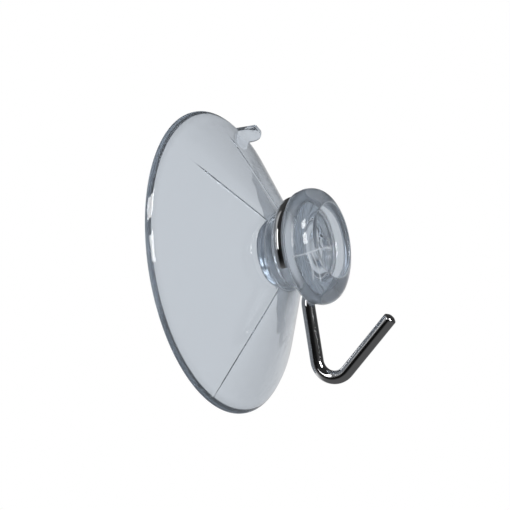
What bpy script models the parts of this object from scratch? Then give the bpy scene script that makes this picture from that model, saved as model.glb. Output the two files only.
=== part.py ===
"""A 45 mm clear suction cup with a bent wire hook that swivels on its neck.

The cup seals on the plane Y = 0 and points out of it along -Y. Z is up, the origin is the
centre of the sealing lip, and the hook hangs straight down from the neck.
"""
import math

import bmesh
import bpy
from mathutils import Matrix, Vector

MM = 0.001

# Skirt, in mm. Heights are above the sealing plane
RIM_RADIUS = 22.5
LIP_EDGE = 0.5          # height of the lip's upright outer edge
LAND_WIDTH = 1.4        # flat ring that seals on the wall
SKIRT_HEIGHT = 10.7     # where the outside of the skirt meets the neck
CROWN_WALL = 1.45       # the skirt's thickness beside the hub, along the axis
HUB_RADIUS = 5.3        # the solid middle that stands down inside the skirt
HUB_DROP = 1.75         # how far it stands below the inner surface of the skirt
HUB_FILLET = 1.3
ROOT_FILLET = 0.5       # where the hub and the neck leave the skirt

# Neck and mushroom head, in mm
NECK_RADIUS = 5.35
NECK_LENGTH = 2.95      # from the skirt to the underside of the head
UNDERCUT_FILLET = 0.3   # where the neck meets the head
HEEL_RADIUS = 8.15      # lower edge of the head
HEEL_FILLET = 0.3
HEAD_RADIUS = 8.45
HEAD_SIDE = 1.25        # from the underside up to the widest ring
DOME_HEIGHT = 3.5       # of the squared dome that the front follows down to the dish's lip
DOME_SQUARENESS = 2.65  # 2 would be an ellipse, more is flatter in the middle

# Dish in the front of the head, with the gate's stub in its middle, in mm
DISH_MOUTH = 5.45       # radius of its lip
DISH_LIP = 0.4          # fillet of the lip
DISH_FLOOR = 5.1        # radius of its floor
DISH_DEPTH = 2.1        # from the lip to the floor
DISH_FILLET = 0.4       # round the floor
DISH_LIFT = 0.5         # how far its middle stands above the middle of the head
GATE_RADIUS = 0.65
GATE_TAPER = 0.1
GATE_HEIGHT = 1.25      # above the dish's floor
GATE_FILLET = 0.15

# Pull tab on the lip, in mm and degrees
TAB_WIDTH = 3.8
TAB_HEIGHT = 3.8
TAB_TAPER = 0.2         # by which each side leans in on the way up
TAB_THICKNESS = 0.6
TAB_NEAR_CORNER = 0.3
TAB_FAR_CORNER = 2.2    # the corner towards +X is well rounded
TAB_INSET = 0.2         # from the outside of the lip to the tab's outer face
TAB_FOOT = 0.12         # keeps its lower edge off the sealing face
TAB_BEARING = 27.5      # from straight up towards +X

# Wire hook, in mm and degrees
WIRE_RADIUS = 0.975
RING_CLEARANCE = 0.375  # round the neck
HEAD_CLEARANCE = 0.12   # under the head
RING_OPENING = 71.0     # from straight down round the -X side to the cut end
EXIT_BEND_RADIUS = 1.8  # where the ring turns down into the shank
SHANK_LENGTH = 8.0
SHANK_LEAN = 1.5        # out of the ring's plane
HOOK_BEND_RADIUS = 2.69
HOOK_BEND_TURN = 129.5
ARM_LENGTH = 10.4

TURN_SEGMENTS = 72
FILLET_STEP = 15.0      # degrees of arc between two points of a fillet
WIRE_STEP = 10.0        # degrees of arc between two points of the wire
DOME_STEPS = 12

head_underside = SKIRT_HEIGHT + NECK_LENGTH
ring_height = head_underside - HEAD_CLEARANCE - WIRE_RADIUS
ring_radius = NECK_RADIUS + RING_CLEARANCE + WIRE_RADIUS


def clear_scene():
    for old in list(bpy.data.objects):
        bpy.data.objects.remove(old, do_unlink=True)


def make_material(name, colour, roughness, metallic, transmission):
    material = bpy.data.materials.new(name)
    material.use_nodes = True
    inputs = material.node_tree.nodes["Principled BSDF"].inputs
    inputs["Base Color"].default_value = (*colour, 1.0)
    inputs["Roughness"].default_value = roughness
    inputs["Metallic"].default_value = metallic
    inputs["Transmission Weight"].default_value = transmission
    return material


def add_object(name, mesh, material):
    mesh.materials.append(material)
    obj = bpy.data.objects.new(name, mesh)
    bpy.context.scene.collection.objects.link(obj)
    return obj


def rounded(corners):
    """The points of an outline whose corners are (x, y, fillet radius)."""
    points = []
    for index, (x, y, radius) in enumerate(corners):
        corner = Vector((x, y))
        if radius == 0:
            points.append(corner)
            continue
        back = (Vector(corners[index - 1][:2]) - corner).normalized()
        ahead = (Vector(corners[(index + 1) % len(corners)][:2]) - corner).normalized()
        half = back.angle(ahead) / 2
        centre = corner + (back + ahead).normalized() * radius / math.sin(half)
        first = corner + back * radius / math.tan(half) - centre
        last = corner + ahead * radius / math.tan(half) - centre
        start = math.atan2(first.y, first.x)
        turn = math.remainder(math.atan2(last.y, last.x) - start, math.tau)
        steps = max(2, math.ceil(math.degrees(abs(turn)) / FILLET_STEP))
        for step in range(steps + 1):
            angle = start + turn * step / steps
            points.append(centre + radius * Vector((math.cos(angle), math.sin(angle))))
    return points


def dome_angle(radius):
    """Where on the dome's quarter ellipse, squared off, a radius is reached."""
    return math.acos((radius / HEAD_RADIUS) ** (DOME_SQUARENESS / 2))


def dome_point(angle):
    radius = HEAD_RADIUS * math.cos(angle) ** (2 / DOME_SQUARENESS)
    rise = DOME_HEIGHT * math.sin(angle) ** (2 / DOME_SQUARENESS)
    return radius, head_underside + HEAD_SIDE + rise


def head_profile():
    """The head's front from its widest ring over the lip into the dish and onto the stub."""
    last = dome_angle(DISH_MOUTH + 2 * DISH_LIP)
    dome = [dome_point(last * step / DOME_STEPS) for step in range(DOME_STEPS + 1)]
    lip = dome_point(dome_angle(DISH_MOUTH))[1]
    floor = lip - DISH_DEPTH
    points = rounded([(radius, height, 0) for radius, height in dome] + [
        (DISH_MOUTH, lip, DISH_LIP),
        (DISH_FLOOR, floor, DISH_FILLET),
        (GATE_RADIUS, floor, GATE_FILLET),
        (GATE_RADIUS - GATE_TAPER, floor + GATE_HEIGHT, GATE_FILLET),
        (0, floor + GATE_HEIGHT, 0),
    ])
    # The whole front moves over with the dish, from nothing at the widest ring
    slope = HEAD_RADIUS - DISH_MOUTH
    return [Vector((p.x, p.y, DISH_LIFT * min(1.0, (HEAD_RADIUS - p.x) / slope)))
            for p in points]


def cup_profile():
    """Half of the moulding's section, (radius, height, lift), from the hub to the stub."""
    land_inside = RIM_RADIUS - LAND_WIDTH
    crown_inside = SKIRT_HEIGHT - CROWN_WALL
    hub_face = crown_inside - HUB_DROP
    lower = rounded([
        (0, hub_face, 0),
        (HUB_RADIUS, hub_face, HUB_FILLET),
        (HUB_RADIUS, crown_inside, ROOT_FILLET),
        (land_inside, 0, 0),
        (RIM_RADIUS, 0, 0),
        (RIM_RADIUS, LIP_EDGE, 0),
        (NECK_RADIUS, SKIRT_HEIGHT, ROOT_FILLET),
        (NECK_RADIUS, head_underside, UNDERCUT_FILLET),
        (HEEL_RADIUS, head_underside, HEEL_FILLET),
        (HEAD_RADIUS, head_underside + HEAD_SIDE, 0),
    ])
    return [Vector((p.x, p.y, 0)) for p in lower[:-1]] + head_profile()


def turned(profile, segments):
    """A closed mesh through rings (radius, height, lift) round the -Y axis, in metres."""
    work = bmesh.new()
    rings = []
    for radius, height, lift in profile:
        if radius < 1e-6:
            rings.append([work.verts.new((0, -height * MM, lift * MM))] * segments)
            continue
        turns = [math.tau * number / segments for number in range(segments)]
        rings.append([work.verts.new((radius * math.sin(turn) * MM, -height * MM,
                                      (lift + radius * math.cos(turn)) * MM))
                      for turn in turns])
    for lower, upper in zip(rings, rings[1:]):
        for number in range(segments):
            after = (number + 1) % segments
            corners = (lower[number], lower[after], upper[after], upper[number])
            work.faces.new(dict.fromkeys(corners))
    bmesh.ops.recalc_face_normals(work, faces=work.faces)
    mesh = bpy.data.meshes.new("turned")
    work.to_mesh(mesh)
    work.free()
    mesh.shade_smooth()
    mesh.set_sharp_from_angle(angle=math.radians(35))
    return mesh


def add_tab(material):
    """The tongue on the lip, a rounded plate that stands away from the wall."""
    half = TAB_WIDTH / 2
    outline = rounded([(-half, TAB_FOOT, 0), (half, TAB_FOOT, 0),
                       (half - TAB_TAPER, TAB_HEIGHT, TAB_FAR_CORNER),
                       (TAB_TAPER - half, TAB_HEIGHT, TAB_NEAR_CORNER)])
    work = bmesh.new()
    face = work.faces.new([work.verts.new((p.x * MM, -p.y * MM, 0)) for p in outline])
    sweep = bmesh.ops.extrude_face_region(work, geom=[face])
    top = [item for item in sweep["geom"] if isinstance(item, bmesh.types.BMVert)]
    bmesh.ops.translate(work, verts=top, vec=(0, 0, TAB_THICKNESS * MM))
    bmesh.ops.recalc_face_normals(work, faces=work.faces)
    mesh = bpy.data.meshes.new("tab")
    work.to_mesh(mesh)
    work.free()
    tab = add_object("tab_shape", mesh, material)
    radius = (RIM_RADIUS - TAB_INSET - TAB_THICKNESS) * MM
    tab.matrix_world = (Matrix.Rotation(math.radians(TAB_BEARING), 4, "Y")
                        @ Matrix.Translation((0, 0, radius)))
    tab.hide_render = True
    tab.display_type = "WIRE"
    return tab


def make_cup(material):
    cup = add_object("suction_cup", turned(cup_profile(), TURN_SEGMENTS), material)
    join = cup.modifiers.new("tab", "BOOLEAN")
    join.operation = "UNION"
    join.object = add_tab(material)
    return cup


def arc(centre, start, turn, radius):
    """Points on an arc in the wire's own plane, angles in degrees."""
    steps = max(2, math.ceil(abs(turn) / WIRE_STEP))
    for step in range(steps + 1):
        angle = math.radians(start + turn * step / steps)
        yield centre + radius * Vector((math.cos(angle), math.sin(angle)))


def hook_route():
    """Centre line of the wire from its cut end, round the neck and down to the tip."""
    # The ring and its exit bend lie in the XZ plane, the two arcs touching each other
    bend_reach = ring_radius + EXIT_BEND_RADIUS
    exit_angle = -math.degrees(math.acos(EXIT_BEND_RADIUS / bend_reach))
    bend_centre = bend_reach * Vector((math.cos(math.radians(exit_angle)),
                                       math.sin(math.radians(exit_angle))))
    cut_angle = -90 - RING_OPENING
    around = list(arc(Vector((0, 0)), cut_angle, exit_angle - cut_angle - 360, ring_radius))
    around += list(arc(bend_centre, exit_angle + 180, -exit_angle, EXIT_BEND_RADIUS))[1:]
    route = [Vector((p.x, 0, p.y)) for p in around]

    # The shank, the bend and the arm lie in the YZ plane, where angles run from straight
    # down towards the front
    lean = SHANK_LEAN
    shank_top = Vector((0, bend_centre.y))
    shank_way = Vector((math.sin(math.radians(lean)), -math.cos(math.radians(lean))))
    shank_foot = shank_top + SHANK_LENGTH * shank_way
    hook_centre = shank_foot + HOOK_BEND_RADIUS * Vector((-shank_way.y, shank_way.x))
    bend = list(arc(hook_centre, 180 + lean, HOOK_BEND_TURN, HOOK_BEND_RADIUS))
    rise = math.radians(lean + HOOK_BEND_TURN)
    tip = bend[-1] + ARM_LENGTH * Vector((math.sin(rise), -math.cos(rise)))
    route += [Vector((0, -p.x, p.y)) for p in bend + [tip]]
    return route


def make_hook(material):
    route = hook_route()
    curve = bpy.data.curves.new("hook", "CURVE")
    curve.dimensions = "3D"
    curve.bevel_depth = WIRE_RADIUS * MM
    curve.bevel_resolution = 5
    curve.use_fill_caps = True
    spline = curve.splines.new("POLY")
    spline.points.add(len(route) - 1)
    for point, place in zip(spline.points, route):
        point.co = (*(place * MM), 1.0)
    hook = add_object("hook", curve, material)
    hook.location = (0, -ring_height * MM, 0)
    return hook


clear_scene()
make_cup(make_material("clear_pvc", (0.78, 0.82, 0.86), 0.08, 0.0, 0.9))
make_hook(make_material("plated_steel", (0.72, 0.73, 0.75), 0.15, 1.0, 0.0))
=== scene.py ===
"""Looks of a clear 45 mm suction cup with a bent, bright-plated wire hook.

Sizes are in millimetres and degrees. A bearing is counted from straight up towards +X, a height
from the wall along -Y.
"""
import math

import bpy
from mathutils import Matrix, Vector


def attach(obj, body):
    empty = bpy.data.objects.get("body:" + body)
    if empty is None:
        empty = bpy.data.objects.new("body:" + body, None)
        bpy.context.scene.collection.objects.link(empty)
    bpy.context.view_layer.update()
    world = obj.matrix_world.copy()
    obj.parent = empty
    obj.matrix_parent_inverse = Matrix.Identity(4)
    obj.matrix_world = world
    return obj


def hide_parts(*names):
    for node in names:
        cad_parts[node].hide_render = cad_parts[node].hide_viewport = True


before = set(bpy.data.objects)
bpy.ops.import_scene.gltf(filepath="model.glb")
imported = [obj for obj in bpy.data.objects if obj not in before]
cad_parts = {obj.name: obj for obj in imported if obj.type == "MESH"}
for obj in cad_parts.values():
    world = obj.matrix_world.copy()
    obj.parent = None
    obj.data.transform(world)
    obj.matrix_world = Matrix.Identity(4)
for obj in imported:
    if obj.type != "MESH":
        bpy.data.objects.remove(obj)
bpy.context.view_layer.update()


# The clear moulding
# A skirt that is pressed flat on a window, a neck and a mushroom head to pull it by, all one
# piece. It is soft PVC, injection moulded in a polished steel mould, so it keeps the fine lines
# where the mould's parts met and the stub of the gate in the middle of the head.
MM = 0.001

RIM_RADIUS = 22.5
LIP_EDGE = 0.5          # upright outer edge of the sealing lip
LIP_ROUNDING = 0.1
LIP_FALL = 0.2          # by which the skirt falls away more steeply just inside the edge
LIP_FALL_WIDTH = 0.6
LIP_BLEND = 1.5         # radius with which it runs out into the skirt
LAND_WIDTH = 1.4        # flat ring that seals on the wall
SKIRT_HEIGHT = 10.7
CROWN_WALL = 1.45       # the skirt's thickness beside the hub
HUB_RADIUS = 4.6        # solid middle that stands down inside the skirt
HUB_DROP = 2.3
HUB_FILLET = 1.3
ROOT_FILLET = 0.5
NECK_RADIUS = 5.35
NECK_LENGTH = 2.95
UNDERCUT_FILLET = 0.3
HEEL_RADIUS = 8.15
HEEL_FILLET = 0.3
HEAD_RADIUS = 8.45
HEAD_SIDE = 1.25
DOME_HEIGHT = 3.5
DOME_SQUARENESS = 2.65
DISH_MOUTH = 5.45       # radius of the lip of the dish in the head's front
DISH_LIP = 0.3
DISH_FLOOR = 4.8
DISH_DEPTH = 2.1
DISH_FILLET = 0.9
DISH_LIFT = 0.5         # how far its middle stands above the middle of the head
GATE_RADIUS = 0.65      # stub of the gate, in the middle of the dish
GATE_TAPER = 0.1
GATE_HEIGHT = 1.25
GATE_FILLET = 0.15
ARC_STEP = 0.13         # along a fillet, between two points of the section
DOME_STEPS = 26
RUN_STEP = 1.6          # along a straight run of it

head_underside = SKIRT_HEIGHT + NECK_LENGTH


def rounded(corners):
    """The points of an outline whose corners are (x, y, fillet radius)."""
    points = []
    for index, (x, y, radius) in enumerate(corners):
        corner = Vector((x, y))
        if radius == 0:
            points.append(corner)
            continue
        back = (Vector(corners[index - 1][:2]) - corner).normalized()
        ahead = (Vector(corners[(index + 1) % len(corners)][:2]) - corner).normalized()
        half = back.angle(ahead) / 2
        centre = corner + (back + ahead).normalized() * radius / math.sin(half)
        first = corner + back * radius / math.tan(half) - centre
        last = corner + ahead * radius / math.tan(half) - centre
        start = math.atan2(first.y, first.x)
        turn = math.remainder(math.atan2(last.y, last.x) - start, math.tau)
        steps = max(3, math.ceil(radius * abs(turn) / ARC_STEP))
        for step in range(steps + 1):
            angle = start + turn * step / steps
            points.append(centre + radius * Vector((math.cos(angle), math.sin(angle))))
    return points


def dome_angle(radius):
    """Where on the dome's quarter ellipse, squared off, a radius is reached."""
    return math.acos((radius / HEAD_RADIUS) ** (DOME_SQUARENESS / 2))


def dome_point(angle):
    radius = HEAD_RADIUS * math.cos(angle) ** (2 / DOME_SQUARENESS)
    rise = DOME_HEIGHT * math.sin(angle) ** (2 / DOME_SQUARENESS)
    return radius, head_underside + HEAD_SIDE + rise


def moulding_section():
    """Half of the moulding's section as (radius, height), from the hub's face to the stub."""
    crown_inside = SKIRT_HEIGHT - CROWN_WALL
    hub_face = crown_inside - HUB_DROP
    last = dome_angle(DISH_MOUTH + 2 * DISH_LIP)
    lip = dome_point(dome_angle(DISH_MOUTH))[1]
    floor = lip - DISH_DEPTH
    slope = (SKIRT_HEIGHT - LIP_EDGE) / (RIM_RADIUS - NECK_RADIUS)
    return rounded([
        (0, hub_face, 0),
        (HUB_RADIUS, hub_face, HUB_FILLET),
        (HUB_RADIUS, crown_inside, ROOT_FILLET),
        (RIM_RADIUS - LAND_WIDTH, 0, 0),
        (RIM_RADIUS, 0, LIP_ROUNDING),
        (RIM_RADIUS, LIP_EDGE - LIP_FALL, LIP_ROUNDING),
        (RIM_RADIUS - LIP_FALL_WIDTH, LIP_EDGE + LIP_FALL_WIDTH * slope, LIP_BLEND),
        (NECK_RADIUS, SKIRT_HEIGHT, ROOT_FILLET),
        (NECK_RADIUS, head_underside, UNDERCUT_FILLET),
        (HEEL_RADIUS, head_underside, HEEL_FILLET),
    ] + [(*dome_point(last * step / DOME_STEPS), 0) for step in range(DOME_STEPS + 1)] + [
        (DISH_MOUTH, lip, DISH_LIP),
        (DISH_FLOOR, floor, DISH_FILLET),
        (GATE_RADIUS, floor, GATE_FILLET),
        (GATE_RADIUS - GATE_TAPER, floor + GATE_HEIGHT, GATE_FILLET),
        (0, floor + GATE_HEIGHT, 0),
    ])


def closely_spaced(points, longest):
    """The same outline with points added, so that none of its straight runs is longer."""
    dense = [points[0]]
    for start, end in zip(points, points[1:]):
        pieces = max(1, math.ceil((end - start).length / longest))
        dense += [start.lerp(end, piece / pieces) for piece in range(1, pieces + 1)]
    return dense


def add(tree, kind, inputs=None, **settings):
    """A node with its settings, whose sockets take values or other nodes' outputs."""
    node = tree.nodes.new(kind)
    for name, value in settings.items():
        setattr(node, name, value)
    for key, value in (inputs or {}).items():
        if isinstance(value, bpy.types.NodeSocket):
            tree.links.new(value, node.inputs[key])
        else:
            node.inputs[key].default_value = value
    return node


def group_inputs(tree, sockets):
    """Adds (name, kind) inputs to a geometry tree, and gives the identifier of each by name."""
    tree.interface.new_socket("Geometry", in_out="OUTPUT", socket_type="NodeSocketGeometry")
    return {name: tree.interface.new_socket(name, in_out="INPUT", socket_type=kind).identifier
            for name, kind in sockets}


# Mould lines on the outside of the skirt: bearing, and the radii they run between
MOULD_LINES = ((-38.0, 5.6, 16.9), (6.0, 5.6, 16.6), (-153.5, 5.6, 21.0))
MOULD_LINE_WIDTH = 0.24
MOULD_LINE_HEIGHT = 0.1
SKIRT_TOP = 0.05        # how far above the skirt's top edge they may still show
TURN_SEGMENTS = 720     # a point falls on every half degree, where the mould lines are
SEAM_GAP = 0.0001       # points that lie closer are one, at the seam and on the axis


def turning_tree():
    """Turns a half section, given as a row of points (radius, height), into the moulding."""
    tree = bpy.data.node_groups.new("turned_moulding", "GeometryNodeTree")
    identifiers = group_inputs(tree, [
        ("Section", "NodeSocketGeometry"), ("Segments", "NodeSocketInt"),
        ("Mould line width", "NodeSocketFloat"), ("Mould line height", "NodeSocketFloat"),
        ("Material", "NodeSocketMaterial")])
    given = add(tree, "NodeGroupInput")
    count = add(tree, "GeometryNodeAttributeDomainSize", {"Geometry": given.outputs["Section"]},
                component="MESH").outputs["Point Count"]
    columns = add(tree, "ShaderNodeMath", {0: given.outputs["Segments"], 1: 1.0}, operation="ADD")
    grid = add(tree, "GeometryNodeMeshGrid",
               {"Vertices X": columns.outputs[0], "Vertices Y": count})

    # Each column of the grid is one copy of the section, turned round the -Y axis
    index = add(tree, "GeometryNodeInputIndex").outputs[0]
    row = add(tree, "ShaderNodeMath", {0: index, 1: count}, operation="MODULO").outputs[0]
    column = add(tree, "ShaderNodeMath", {0: index, 1: count}, operation="DIVIDE").outputs[0]
    column = add(tree, "ShaderNodeMath", {0: column}, operation="FLOOR").outputs[0]
    share = add(tree, "ShaderNodeMath", {0: column, 1: given.outputs["Segments"]},
                operation="DIVIDE")
    angle = add(tree, "ShaderNodeMath", {0: share.outputs[0], 1: math.tau}, operation="MULTIPLY")
    place = add(tree, "GeometryNodeInputPosition").outputs[0]
    section = add(tree, "GeometryNodeSampleIndex",
                  {"Geometry": given.outputs["Section"], "Value": place, "Index": row},
                  data_type="FLOAT_VECTOR").outputs[0]
    turned = add(tree, "ShaderNodeVectorRotate", {"Vector": section, "Angle": angle.outputs[0]},
                 rotation_type="Y_AXIS")
    lift = add(tree, "GeometryNodeInputNamedAttribute", {"Name": "lift"}, data_type="FLOAT")
    lift = add(tree, "GeometryNodeSampleIndex",
               {"Geometry": given.outputs["Section"], "Value": lift.outputs[0], "Index": row},
               data_type="FLOAT")
    lift = add(tree, "ShaderNodeCombineXYZ", {"Z": lift.outputs[0]})
    body = add(tree, "GeometryNodeSetPosition",
               {"Geometry": grid.outputs[0], "Position": turned.outputs[0],
                "Offset": lift.outputs[0]}).outputs[0]
    body = add(tree, "GeometryNodeMergeByDistance",
               {"Geometry": body, "Distance": SEAM_GAP * MM}).outputs[0]

    # A mould line is a low ridge along a radius, on the faces of the skirt whose normals are
    # within 60 degrees of straight away from the wall
    normal = add(tree, "GeometryNodeInputNormal").outputs[0]
    away = add(tree, "ShaderNodeVectorMath", {0: normal, 1: (0, -1, 0)}, operation="DOT_PRODUCT")
    away = add(tree, "ShaderNodeMath",
               {0: away.outputs["Value"], 1: math.cos(math.radians(60))}, operation="GREATER_THAN")
    height = add(tree, "ShaderNodeVectorMath", {0: place, 1: (0, -1, 0)}, operation="DOT_PRODUCT")
    skirt = add(tree, "ShaderNodeMath",
                {0: height.outputs["Value"], 1: (SKIRT_HEIGHT + SKIRT_TOP) * MM},
                operation="LESS_THAN")
    ridge = None
    for bearing, inner, outer in MOULD_LINES:
        along = (math.sin(math.radians(bearing)), 0, math.cos(math.radians(bearing)))
        run = add(tree, "ShaderNodeVectorMath", {0: place, 1: along}, operation="DOT_PRODUCT")
        inside = add(tree, "ShaderNodeMath", {0: run.outputs["Value"], 1: outer * MM},
                     operation="LESS_THAN")
        outside = add(tree, "ShaderNodeMath", {0: run.outputs["Value"], 1: inner * MM},
                      operation="GREATER_THAN")
        side = add(tree, "ShaderNodeVectorMath", {0: place, 1: (along[2], 0, -along[0])},
                   operation="DOT_PRODUCT")
        side = add(tree, "ShaderNodeMath", {0: side.outputs["Value"]}, operation="ABSOLUTE")
        crest = add(tree, "ShaderNodeMapRange",
                    {"Value": side.outputs[0], "From Max": given.outputs["Mould line width"],
                     "To Min": 1.0, "To Max": 0.0})
        line = add(tree, "ShaderNodeMath", {0: crest.outputs[0], 1: inside.outputs[0]},
                   operation="MULTIPLY")
        line = add(tree, "ShaderNodeMath", {0: line.outputs[0], 1: outside.outputs[0]},
                   operation="MULTIPLY").outputs[0]
        ridge = line if ridge is None else add(tree, "ShaderNodeMath", {0: ridge, 1: line},
                                               operation="MAXIMUM").outputs[0]
    ridge = add(tree, "ShaderNodeMath", {0: ridge, 1: away.outputs[0]}, operation="MULTIPLY")
    ridge = add(tree, "ShaderNodeMath", {0: ridge.outputs[0], 1: skirt.outputs[0]},
                operation="MULTIPLY")
    ridge = add(tree, "ShaderNodeMath",
                {0: ridge.outputs[0], 1: given.outputs["Mould line height"]}, operation="MULTIPLY")
    offset = add(tree, "ShaderNodeVectorMath", {0: normal, "Scale": ridge.outputs[0]},
                 operation="SCALE")
    body = add(tree, "GeometryNodeSetPosition",
               {"Geometry": body, "Offset": offset.outputs[0]}).outputs[0]
    body = add(tree, "GeometryNodeRealizeInstances", {"Geometry": body}).outputs[0]
    body = add(tree, "GeometryNodeSetMaterial",
               {"Geometry": body, "Material": given.outputs["Material"]}).outputs[0]
    add(tree, "NodeGroupOutput", {"Geometry": body})
    return tree, identifiers


def grown(name, mesh, tree, values):
    """The plain mesh that a geometry tree grows from a mesh; values are set by identifier."""
    seed = bpy.data.objects.new(name, mesh)
    bpy.context.scene.collection.objects.link(seed)
    modifier = seed.modifiers.new(name, "NODES")
    modifier.node_group = tree
    for identifier, value in values.items():
        modifier[identifier] = value
    seen = seed.evaluated_get(bpy.context.evaluated_depsgraph_get())
    result = bpy.data.meshes.new_from_object(seen)
    bpy.data.objects.remove(seed)
    return result


def srgb(code):
    """An sRGB hex colour as linear RGBA."""
    channels = [int(code[i:i + 2], 16) / 255 for i in (0, 2, 4)]
    return [c / 12.92 if c <= 0.04045 else ((c + 0.055) / 1.055) ** 2.4 for c in channels] + [1.0]


# Milky lines on the front of the head, as the (x, z) of both their ends. The two that run across
# are flow lines; the two that run down are painted light, drawn where the edge of the dish's floor
# shows refracted through the head
HEAD_FLOW_AND_PAINTED_LIGHT_LINES = (((-8.4, -1.45), (-5.5, -0.74)), ((-3.5, -0.66), (3.7, -0.21)),
              ((-7.5, -1.2), (-6.1, -4.9)), ((-6.9, -1.2), (-4.8, -5.3)))
HEAD_LINE_WIDTH = 0.2
CLARITY = 0.95
LINE_CLARITY = 0.5      # in the middle of a milky line
SINK_SIZE = 5.88        # slow sink marks, of a soft surface that isn't quite flat
HAZE_SIZE = 2.0         # patches of handling haze
SINK_DEPTH = 0.15
MATT_START = (10.9, 11.1)       # heights between which the matt undercut sets in,
MATT_END = (13.8, 14.1)         # and between which it ends
MATT_ROUGHNESS = 0.35


def clear_pvc_material():
    """Clear plasticised PVC from a polished mould: smooth and glassy, grey with a breath of blue.

    The eye sees white things behind it grey-blue, its edges darker, and its gloss a little
    unsteady, because the soft surface isn't quite flat.
    """
    material = bpy.data.materials.new("clear_soft_pvc_moulded")
    material.use_nodes = True
    tree = material.node_tree
    tree.nodes.clear()
    place = add(tree, "ShaderNodeTexCoord").outputs["Object"]
    sink = add(tree, "ShaderNodeTexNoise",
               {"Vector": place, "Scale": 1 / (SINK_SIZE * MM), "Detail": 1.0})
    haze = add(tree, "ShaderNodeTexNoise",
               {"Vector": place, "Scale": 1 / (HAZE_SIZE * MM), "Detail": 3.0})
    roughness = add(tree, "ShaderNodeMapRange",
                    {"Value": haze.outputs["Fac"], "From Min": 0.35, "From Max": 0.75,
                     "To Min": 0.02, "To Max": 0.035})
    # The neck and the underside of the head come from slides that aren't polished
    height = add(tree, "ShaderNodeSeparateXYZ", {0: place}).outputs["Y"]
    low = add(tree, "ShaderNodeMapRange", {
        "Value": height, "From Min": -MATT_START[0] * MM, "From Max": -MATT_START[1] * MM})
    high = add(tree, "ShaderNodeMapRange", {
        "Value": height, "From Min": -MATT_END[1] * MM, "From Max": -MATT_END[0] * MM})
    undercut = add(tree, "ShaderNodeMath", {0: low.outputs[0], 1: high.outputs[0]},
                   operation="MULTIPLY")
    matt = add(tree, "ShaderNodeMath", {0: undercut.outputs[0], 1: MATT_ROUGHNESS},
               operation="MULTIPLY")
    roughness = add(tree, "ShaderNodeMath", {0: roughness.outputs[0], 1: matt.outputs[0]},
                    operation="ADD")
    bump = add(tree, "ShaderNodeBump",
               {"Height": sink.outputs["Fac"], "Strength": 0.25, "Distance": SINK_DEPTH * MM})
    # Milky lines on the front of the head: flow lines, where the plastic met in the mould, run
    # across it, and the two lines that run down are painted light, the refracted edge of the dish's
    # floor drawn as milky lines
    front = add(tree, "ShaderNodeMath", {0: height, 1: -(head_underside + HEAD_SIDE) * MM},
                operation="LESS_THAN").outputs[0]
    drawn = None
    for start, end in HEAD_FLOW_AND_PAINTED_LIGHT_LINES:
        along = (Vector(end) - Vector(start)).normalized()
        across = Vector((along.y, -along.x))
        run = add(tree, "ShaderNodeVectorMath", {0: place, 1: (along.x, 0, along.y)},
                  operation="DOT_PRODUCT").outputs["Value"]
        middle = (Vector(start) + Vector(end)) / 2
        reach = (Vector(end) - Vector(start)).length / 2
        within = add(tree, "ShaderNodeMath",
                     {0: run, 1: middle.dot(along) * MM, 2: reach * MM}, operation="COMPARE")
        side = add(tree, "ShaderNodeVectorMath", {0: place, 1: (across.x, 0, across.y)},
                   operation="DOT_PRODUCT").outputs["Value"]
        side = add(tree, "ShaderNodeMath", {0: side, 1: middle.dot(across) * MM},
                   operation="SUBTRACT").outputs[0]
        side = add(tree, "ShaderNodeMath", {0: side}, operation="ABSOLUTE").outputs[0]
        crest = add(tree, "ShaderNodeMapRange",
                    {"Value": side, "From Max": HEAD_LINE_WIDTH * MM,
                     "To Min": 1.0, "To Max": 0.0}).outputs[0]
        line = add(tree, "ShaderNodeMath", {0: crest, 1: within.outputs[0]},
                   operation="MULTIPLY").outputs[0]
        drawn = line if drawn is None else add(tree, "ShaderNodeMath", {0: drawn, 1: line},
                                               operation="MAXIMUM").outputs[0]
    drawn = add(tree, "ShaderNodeMath", {0: drawn, 1: front}, operation="MULTIPLY").outputs[0]
    clarity = add(tree, "ShaderNodeMapRange",
                  {"Value": drawn, "To Min": CLARITY, "To Max": LINE_CLARITY})
    surface = add(tree, "ShaderNodeBsdfPrincipled", {
        "Base Color": srgb("C9CFD6"), "Roughness": roughness.outputs[0], "IOR": 1.53,
        "Transmission Weight": clarity.outputs[0], "Normal": bump.outputs[0]})
    volume = add(tree, "ShaderNodeVolumeAbsorption", {"Color": srgb("B4C2CF"), "Density": 32.0})
    add(tree, "ShaderNodeOutputMaterial",
        {"Surface": surface.outputs[0], "Volume": volume.outputs[0]})
    return material


clear_pvc = clear_pvc_material()
section_points = closely_spaced(moulding_section(), RUN_STEP)
section_mesh = bpy.data.meshes.new("moulding_section")
section_mesh.from_pydata([(0, -p.y * MM, p.x * MM) for p in section_points],
                         [(i, i + 1) for i in range(len(section_points) - 1)], [])
# The head's front moves over with its dish, from nothing at the widest ring
lift = section_mesh.attributes.new("lift", "FLOAT", "POINT")
for number, point in enumerate(section_points):
    if point.y > head_underside + HEAD_SIDE:
        share = min(1.0, (HEAD_RADIUS - point.x) / (HEAD_RADIUS - DISH_MOUTH))
        lift.data[number].value = DISH_LIFT * share * MM
tree, named = turning_tree()
moulding_mesh = grown("moulding_section", section_mesh, tree, {
    named["Segments"]: TURN_SEGMENTS,
    named["Mould line width"]: MOULD_LINE_WIDTH * MM,
    named["Mould line height"]: MOULD_LINE_HEIGHT * MM,
    named["Material"]: clear_pvc})
moulding = bpy.data.objects.new("clear_moulding", moulding_mesh)
bpy.context.scene.collection.objects.link(moulding)

# The pull tab, a rounded tongue that stands up from the lip, moulded with it
TAB_WIDTH = 3.8
TAB_HEIGHT = 3.8
TAB_TAPER = 0.2
TAB_THICKNESS = 0.6
TAB_NEAR_CORNER = 0.3
TAB_FAR_CORNER = 2.2
TAB_INSET = 0.2
TAB_FOOT = 0.12
TAB_BEARING = 27.5
TAB_EDGE = 0.1          # rounding of its long edges

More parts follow.
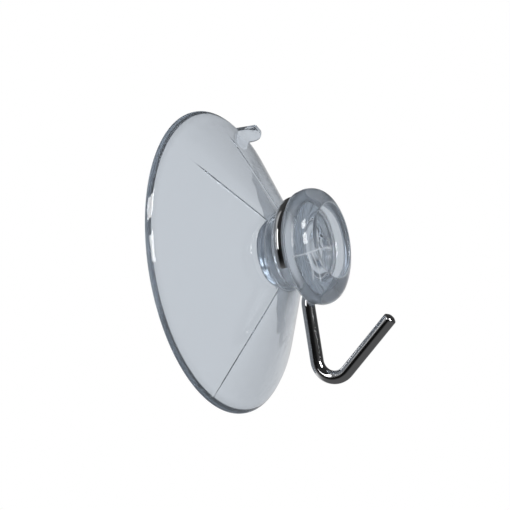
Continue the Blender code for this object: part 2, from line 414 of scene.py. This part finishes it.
half = TAB_WIDTH / 2
outline = rounded([(-half, TAB_FOOT, 0), (half, TAB_FOOT, 0),
                   (half - TAB_TAPER, TAB_HEIGHT, TAB_FAR_CORNER),
                   (TAB_TAPER - half, TAB_HEIGHT, TAB_NEAR_CORNER)])
count = len(outline)
tab_mesh = bpy.data.meshes.new("pull_tab")
tab_mesh.from_pydata(
    [(p.x * MM, -p.y * MM, z * MM) for z in (0, TAB_THICKNESS) for p in outline], [],
    [tuple(range(count))[::-1], tuple(range(count, 2 * count))]
    + [(i, (i + 1) % count, (i + 1) % count + count, i + count) for i in range(count)])
tab = bpy.data.objects.new("pull_tab", tab_mesh)
bpy.context.scene.collection.objects.link(tab)
tab.matrix_world = (Matrix.Rotation(math.radians(TAB_BEARING), 4, "Y")
                    @ Matrix.Translation((0, 0, (RIM_RADIUS - TAB_INSET - TAB_THICKNESS) * MM)))
soften = tab.modifiers.new("edges", "BEVEL")
soften.width = TAB_EDGE * MM
soften.segments = 3
soften.limit_method = "ANGLE"
soften.angle_limit = math.radians(50)

join = moulding.modifiers.new("pull_tab", "BOOLEAN")
join.operation = "UNION"
join.solver = "EXACT"
join.object = tab
whole = bpy.data.meshes.new_from_object(
    moulding.evaluated_get(bpy.context.evaluated_depsgraph_get()))
moulding.modifiers.clear()
moulding.data = whole
bpy.data.objects.remove(tab)
whole.materials.clear()
whole.materials.append(clear_pvc)
whole.shade_smooth()
whole.set_sharp_from_angle(angle=math.radians(35))
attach(moulding, "cup")
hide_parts("suction_cup")


# The wire hook
# One length of drawn steel wire, bent into an open ring that snaps round the neck, a shank, and
# a hook with a straight arm. It is sheared to length, which rounds its ends, and nickel plated.
WIRE_RADIUS = 0.975
RING_CLEARANCE = 0.375
HEAD_CLEARANCE = 0.12
RING_OPENING = 67.0     # from straight down round the -X side to the cut end
EXIT_BEND_RADIUS = 1.8
SHANK_LENGTH = 8.0
SHANK_LEAN = 1.5
HOOK_BEND_RADIUS = 2.69
HOOK_BEND_TURN = 129.5
ARM_LENGTH = 10.4
END_ROUNDING = 0.45     # how far from the end the wire starts to narrow
END_SQUARENESS = 2.6    # 2 would round it off in a circle
CUT_FACE = 0.30         # share of the wire's section that stays flat at the cut
WIRE_STEP = 2.0         # degrees of arc between two points of the route
WIRE_SPACING = 0.12     # between two rings of the finished wire
WIRE_SIDES = 40

ring_height = head_underside - HEAD_CLEARANCE - WIRE_RADIUS
ring_radius = NECK_RADIUS + RING_CLEARANCE + WIRE_RADIUS


def arc(centre, start, turn, radius):
    """Points on an arc in the wire's own plane, angles in degrees."""
    steps = max(2, math.ceil(abs(turn) / WIRE_STEP))
    for step in range(steps + 1):
        angle = math.radians(start + turn * step / steps)
        yield centre + radius * Vector((math.cos(angle), math.sin(angle)))


def hook_route():
    """Centre line of the wire from its cut end, round the neck and down to the tip."""
    bend_reach = ring_radius + EXIT_BEND_RADIUS
    exit_angle = -math.degrees(math.acos(EXIT_BEND_RADIUS / bend_reach))
    bend_centre = bend_reach * Vector((math.cos(math.radians(exit_angle)),
                                       math.sin(math.radians(exit_angle))))
    cut_angle = -90 - RING_OPENING
    around = list(arc(Vector((0, 0)), cut_angle, exit_angle - cut_angle - 360, ring_radius))
    around += list(arc(bend_centre, exit_angle + 180, -exit_angle, EXIT_BEND_RADIUS))[1:]
    route = [Vector((p.x, -ring_height, p.y)) for p in around]

    shank_top = Vector((0, bend_centre.y))
    shank_way = Vector((math.sin(math.radians(SHANK_LEAN)), -math.cos(math.radians(SHANK_LEAN))))
    shank_foot = shank_top + SHANK_LENGTH * shank_way
    hook_centre = shank_foot + HOOK_BEND_RADIUS * Vector((-shank_way.y, shank_way.x))
    bend = list(arc(hook_centre, 180 + SHANK_LEAN, HOOK_BEND_TURN, HOOK_BEND_RADIUS))
    rise = math.radians(SHANK_LEAN + HOOK_BEND_TURN)
    tip = bend[-1] + ARM_LENGTH * Vector((math.sin(rise), -math.cos(rise)))
    return route + [Vector((0, -ring_height - p.x, p.y)) for p in bend + [tip]]


def wire_tree():
    """A round wire along a row of points, narrowing to a rounded end at both cuts."""
    tree = bpy.data.node_groups.new("bent_wire", "GeometryNodeTree")
    identifiers = group_inputs(tree, [
        ("Route", "NodeSocketGeometry"), ("Wire radius", "NodeSocketFloat"),
        ("Sides", "NodeSocketInt"), ("Spacing", "NodeSocketFloat"),
        ("End rounding", "NodeSocketFloat"), ("Material", "NodeSocketMaterial")])
    given = add(tree, "NodeGroupInput")
    route = add(tree, "GeometryNodeMeshToCurve", {"Mesh": given.outputs["Route"]}).outputs[0]
    route = add(tree, "GeometryNodeResampleCurve",
                {"Curve": route, "Length": given.outputs["Spacing"]}, mode="LENGTH").outputs[0]

    # The distance to the nearer end gives the wire's width there, as on a squared quarter circle
    reached = add(tree, "GeometryNodeSplineParameter").outputs["Length"]
    full = add(tree, "GeometryNodeSplineLength").outputs["Length"]
    left = add(tree, "ShaderNodeMath", {0: full, 1: reached}, operation="SUBTRACT").outputs[0]
    nearer = add(tree, "ShaderNodeMath", {0: reached, 1: left}, operation="MINIMUM").outputs[0]
    short = add(tree, "ShaderNodeMapRange",
                {"Value": nearer, "From Max": given.outputs["End rounding"],
                 "To Min": 1.0, "To Max": 0.0}).outputs[0]
    short = add(tree, "ShaderNodeMath", {0: short, 1: END_SQUARENESS}, operation="POWER").outputs[0]
    area = add(tree, "ShaderNodeMath", {0: 1.0, 1: short}, operation="SUBTRACT").outputs[0]
    area = add(tree, "ShaderNodeMath", {0: area, 1: CUT_FACE}, operation="MAXIMUM").outputs[0]
    width = add(tree, "ShaderNodeMath", {0: area, 1: 0.5}, operation="POWER").outputs[0]
    ring = add(tree, "GeometryNodeCurvePrimitiveCircle",
               {"Resolution": given.outputs["Sides"], "Radius": given.outputs["Wire radius"]})
    wire = add(tree, "GeometryNodeCurveToMesh",
               {"Curve": route, "Profile Curve": ring.outputs[0], "Scale": width,
                "Fill Caps": True})
    wire = add(tree, "GeometryNodeRealizeInstances", {"Geometry": wire.outputs[0]}).outputs[0]
    wire = add(tree, "GeometryNodeSetMaterial",
               {"Geometry": wire, "Material": given.outputs["Material"]}).outputs[0]
    add(tree, "NodeGroupOutput", {"Geometry": wire})
    return tree, identifiers


MARK_SIZE = 0.303       # real drawing marks are some 0.1 mm apart, and wouldn't show
MARK_DEPTH = 0.02
PATCH_SIZE = 1.43       # patches in which the plating is a little duller


def plated_steel_material():
    """Drawn steel wire, barrel plated with bright nickel: a neutral mirror, a little dull.

    The eye sees hard light and dark stripes along the wire, and on them faint drawing marks.
    """
    material = bpy.data.materials.new("bright_nickel_plated_steel")
    material.use_nodes = True
    tree = material.node_tree
    tree.nodes.clear()
    place = add(tree, "ShaderNodeTexCoord").outputs["Object"]
    marks = add(tree, "ShaderNodeTexNoise",
                {"Vector": place, "Scale": 1 / (MARK_SIZE * MM), "Detail": 2.0})
    patches = add(tree, "ShaderNodeTexNoise",
                  {"Vector": place, "Scale": 1 / (PATCH_SIZE * MM), "Detail": 2.0})
    roughness = add(tree, "ShaderNodeMapRange",
                    {"Value": patches.outputs["Fac"], "From Min": 0.3, "From Max": 0.7,
                     "To Min": 0.05, "To Max": 0.09})
    bump = add(tree, "ShaderNodeBump",
               {"Height": marks.outputs["Fac"], "Strength": 0.01, "Distance": MARK_DEPTH * MM})
    surface = add(tree, "ShaderNodeBsdfPrincipled", {
        "Base Color": srgb("C9CACC"), "Metallic": 1.0, "Roughness": roughness.outputs[0],
        "Normal": bump.outputs[0]})
    add(tree, "ShaderNodeOutputMaterial", {"Surface": surface.outputs[0]})
    return material


plated_steel = plated_steel_material()
route_points = hook_route()
route_mesh = bpy.data.meshes.new("hook_route")
route_mesh.from_pydata([p * MM for p in route_points],
                       [(i, i + 1) for i in range(len(route_points) - 1)], [])
tree, named = wire_tree()
wire_mesh = grown("hook_route", route_mesh, tree, {
    named["Wire radius"]: WIRE_RADIUS * MM,
    named["Sides"]: WIRE_SIDES,
    named["Spacing"]: WIRE_SPACING * MM,
    named["End rounding"]: END_ROUNDING * MM,
    named["Material"]: plated_steel})
wire_mesh.shade_smooth()
wire_mesh.set_sharp_from_angle(angle=math.radians(50))
wire_hook = bpy.data.objects.new("bent_wire_hook", wire_mesh)
bpy.context.scene.collection.objects.link(wire_hook)
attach(wire_hook, "wire_hook")
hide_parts("hook")


# The floor
# A round sheet of white board well below the part, which hangs in the air as in the photograph.
# It fades out towards its edge, so that it has no horizon, and the metal doesn't mirror it.
FLOOR_RADIUS = 110.0
FLOOR_DROP = 62.0
FLOOR_SIDES = 96
FADE_START = 0.45       # shares of its radius between which it fades out
FADE_END = 0.97

floor_mesh = bpy.data.meshes.new("white_board")
turns = [math.tau * side / FLOOR_SIDES for side in range(FLOOR_SIDES)]
rim = [Vector((FLOOR_RADIUS * math.cos(turn), FLOOR_RADIUS * math.sin(turn), -FLOOR_DROP)) * MM
       for turn in turns]
floor_mesh.from_pydata(rim, [], [tuple(range(FLOOR_SIDES))])
board = bpy.data.materials.new("white_board_matt")
board.use_nodes = True
tree = board.node_tree
tree.nodes.clear()
place = add(tree, "ShaderNodeTexCoord").outputs["Object"]
flat = add(tree, "ShaderNodeVectorMath", {0: place, 1: (1, 1, 0)}, operation="MULTIPLY")
reach = add(tree, "ShaderNodeVectorMath", {0: flat.outputs[0]}, operation="LENGTH")
fade = add(tree, "ShaderNodeMapRange",
           {"Value": reach.outputs["Value"], "From Min": FADE_START * FLOOR_RADIUS * MM,
            "From Max": FADE_END * FLOOR_RADIUS * MM}, interpolation_type="SMOOTHSTEP")
mirrored = add(tree, "ShaderNodeLightPath").outputs["Is Glossy Ray"]
hidden = add(tree, "ShaderNodeMath", {0: fade.outputs[0], 1: mirrored}, operation="MAXIMUM")
sheet = add(tree, "ShaderNodeBsdfDiffuse", {"Color": srgb("F4F4F4")})
gone = add(tree, "ShaderNodeBsdfTransparent")
mixed = add(tree, "ShaderNodeMixShader",
            {0: hidden.outputs[0], 1: sheet.outputs[0], 2: gone.outputs[0]})
add(tree, "ShaderNodeOutputMaterial", {"Surface": mixed.outputs[0]})
floor_mesh.materials.append(board)
floor = bpy.data.objects.new("white_board", floor_mesh)
bpy.context.scene.collection.objects.link(floor)


# The studio
# White all round for the eye. Metal and clear plastic see the same white with the dark parts of
# a real studio in it: the side of the camera, the gaps between the panels and the ceiling.
PLAIN_WHITE = (1.0, 1.0, 1.0, 1.0)
ROOM_LIGHT = (0.65, 0.65, 0.65, 1.0)        # what the room gives to matt things
DARK_BELOW = (0.13, 0.13, 0.13, 1.0)        # what a mirror sees under the part
PANEL_WAY = (0.893, 0.444, 0.065)           # from the camera through the part
PANEL_EDGE = (0.6, 0.93)                    # cosines to that way, of its outer and inner edge
GREY_ROOM = 0.45                            # the room's brightness beside it

world = bpy.data.worlds.new("white_studio")
bpy.context.scene.world = world
world.use_nodes = True
tree = world.node_tree
tree.nodes.clear()
way = add(tree, "ShaderNodeTexCoord").outputs["Generated"]
axes = add(tree, "ShaderNodeSeparateXYZ", {0: way})
turn = add(tree, "ShaderNodeMath", {0: axes.outputs["X"], 1: axes.outputs["Y"]},
           operation="ARCTAN2")
turn = add(tree, "ShaderNodeMapRange",
           {"Value": turn.outputs[0], "From Min": -math.pi, "From Max": math.pi}).outputs[0]


def stops(ramp, places):
    """Sets a colour ramp to (position, brightness) stops."""
    steps = ramp.color_ramp.elements
    while len(steps) > 1:
        steps.remove(steps[-1])
    for number, (position, level) in enumerate(places):
        step = steps[0] if number == 0 else steps.new(position)
        step.position = position
        step.color = (level, level, level, 1.0)


# Bearing seen from above, 0.5 is +Y, 0.75 is +X, 0.25 is -X. One ramp goes round at the height of
# the part, one round above it, and what lies below is a plain dark grey. A mix of colours takes
# them at its sockets 6 and 7 and gives the result at 2
level = add(tree, "ShaderNodeValToRGB", {0: turn})
stops(level, [(0.0, 0.06), (0.12, 0.05), (0.17, 0.012), (0.30, 0.004), (0.34, 0.02),
              (0.385, 0.14), (0.44, 0.55), (0.48, 1.0), (0.59, 1.0), (0.64, 0.6), (0.72, 0.6),
              (0.78, 0.17), (0.86, 0.065), (1.0, 0.06)])
above = add(tree, "ShaderNodeValToRGB", {0: turn})
stops(above, [(0.0, 0.04), (0.30, 0.03), (0.335, 0.3), (0.36, 0.55), (0.40, 0.7), (0.46, 0.5),
              (0.52, 0.08), (0.72, 0.06), (1.0, 0.04)])
rise = add(tree, "ShaderNodeMapRange",
           {"Value": axes.outputs["Z"], "From Min": 0.10, "From Max": 0.24},
           interpolation_type="SMOOTHSTEP")
fall = add(tree, "ShaderNodeMapRange",
           {"Value": axes.outputs["Z"], "From Min": -0.3, "From Max": -0.65},
           interpolation_type="SMOOTHSTEP")
upper = add(tree, "ShaderNodeMix",
            {"Factor": rise.outputs[0], 6: level.outputs[0], 7: above.outputs[0]},
            data_type="RGBA")
mirror = add(tree, "ShaderNodeMix",
             {"Factor": fall.outputs[0], 6: upper.outputs[2], 7: DARK_BELOW}, data_type="RGBA")
# Clear plastic looks through at a white panel behind the part. It is as white on the side that
# the head points to, and below the part; what the plastic sees beside them is the grey room
ahead = add(tree, "ShaderNodeVectorMath", {0: way, 1: PANEL_WAY}, operation="DOT_PRODUCT")
panel = add(tree, "ShaderNodeMapRange",
            {"Value": ahead.outputs["Value"], "From Min": PANEL_EDGE[0],
             "From Max": PANEL_EDGE[1], "To Min": GREY_ROOM}, interpolation_type="SMOOTHSTEP")
front = add(tree, "ShaderNodeMapRange",
            {"Value": axes.outputs["Y"], "From Min": -0.3, "From Max": -0.6},
            interpolation_type="SMOOTHSTEP")
low = add(tree, "ShaderNodeMapRange",
          {"Value": axes.outputs["Z"], "From Min": -0.45, "From Max": -0.7},
          interpolation_type="SMOOTHSTEP")
clear = add(tree, "ShaderNodeMath", {0: panel.outputs[0], 1: front.outputs[0]},
            operation="MAXIMUM")
clear = add(tree, "ShaderNodeMath", {0: clear.outputs[0], 1: low.outputs[0]},
            operation="MAXIMUM")
paths = add(tree, "ShaderNodeLightPath")
through = add(tree, "ShaderNodeMix",
              {"Factor": paths.outputs["Is Transmission Ray"], 6: mirror.outputs[2],
               7: clear.outputs[0]}, data_type="RGBA")
seen_in_part = add(tree, "ShaderNodeMath",
                   {0: paths.outputs["Is Glossy Ray"], 1: paths.outputs["Is Transmission Ray"]},
                   operation="MAXIMUM")
lit = add(tree, "ShaderNodeMix",
          {"Factor": seen_in_part.outputs[0], 6: ROOM_LIGHT, 7: through.outputs[2]},
          data_type="RGBA")
seen = add(tree, "ShaderNodeMix",
           {"Factor": paths.outputs["Is Camera Ray"], 6: lit.outputs[2], 7: PLAIN_WHITE},
           data_type="RGBA")
sky = add(tree, "ShaderNodeBackground", {"Color": seen.outputs[2], "Strength": 1.0})
add(tree, "ShaderNodeOutputWorld", {"Surface": sky.outputs[0]})

LAMP_AIM = Vector((0, -10, 0))      # the middle of the part


def softbox(name, place, width, height, power):
    """A soft rectangular lamp that faces the middle of the part."""
    lamp = bpy.data.lights.new(name, "AREA")
    lamp.shape = "RECTANGLE"
    lamp.size = width * MM
    lamp.size_y = height * MM
    lamp.energy = power
    box = bpy.data.objects.new(name, lamp)
    bpy.context.scene.collection.objects.link(box)
    box.location = Vector(place) * MM
    box.rotation_euler = (LAMP_AIM * MM - box.location).to_track_quat("-Z", "Y").to_euler()


# Two panes of one window, to the right of the camera and above it, and a strip on the left
softbox("window_pane_low", (-185, -575, 115), 240, 150, 1.2)
softbox("window_pane_high", (-165, -500, 325), 230, 130, 1.1)
softbox("softbox_left", (-260, 60, 120), 60, 220, 0.15)


# The camera, where the photograph was taken from, found by fitting the part's circles
FOCAL_PIXELS = 1600.0
PICTURE_PIXELS = 510.0
SENSOR_WIDTH = 36.0
NEAREST = 10.0          # that it can see
CAMERA_PLACE = Vector((-209.239, -109.21, -15.058))
CAMERA_RIGHT = Vector((0.44926, -0.88391, -0.12991))
CAMERA_DOWN = Vector((0.0, 0.14541, -0.98937))
CAMERA_FORWARD = Vector((0.8934, 0.44448, 0.06533))

camera_data = bpy.data.cameras.new("camera")
camera_data.sensor_width = SENSOR_WIDTH
camera_data.lens = FOCAL_PIXELS / PICTURE_PIXELS * SENSOR_WIDTH
camera_data.clip_start = NEAREST * MM
camera = bpy.data.objects.new("camera", camera_data)
bpy.context.scene.collection.objects.link(camera)
turned_to = Matrix((CAMERA_RIGHT, -CAMERA_DOWN, -CAMERA_FORWARD)).transposed()
camera.matrix_world = Matrix.Translation(CAMERA_PLACE * MM) @ turned_to.to_4x4()
bpy.context.scene.camera = camera
bpy.context.scene.view_settings.view_transform = "Standard"
bpy.context.scene.cycles.max_bounces = 40
bpy.context.scene.cycles.transmission_bounces = 40
bpy.context.scene.cycles.glossy_bounces = 12
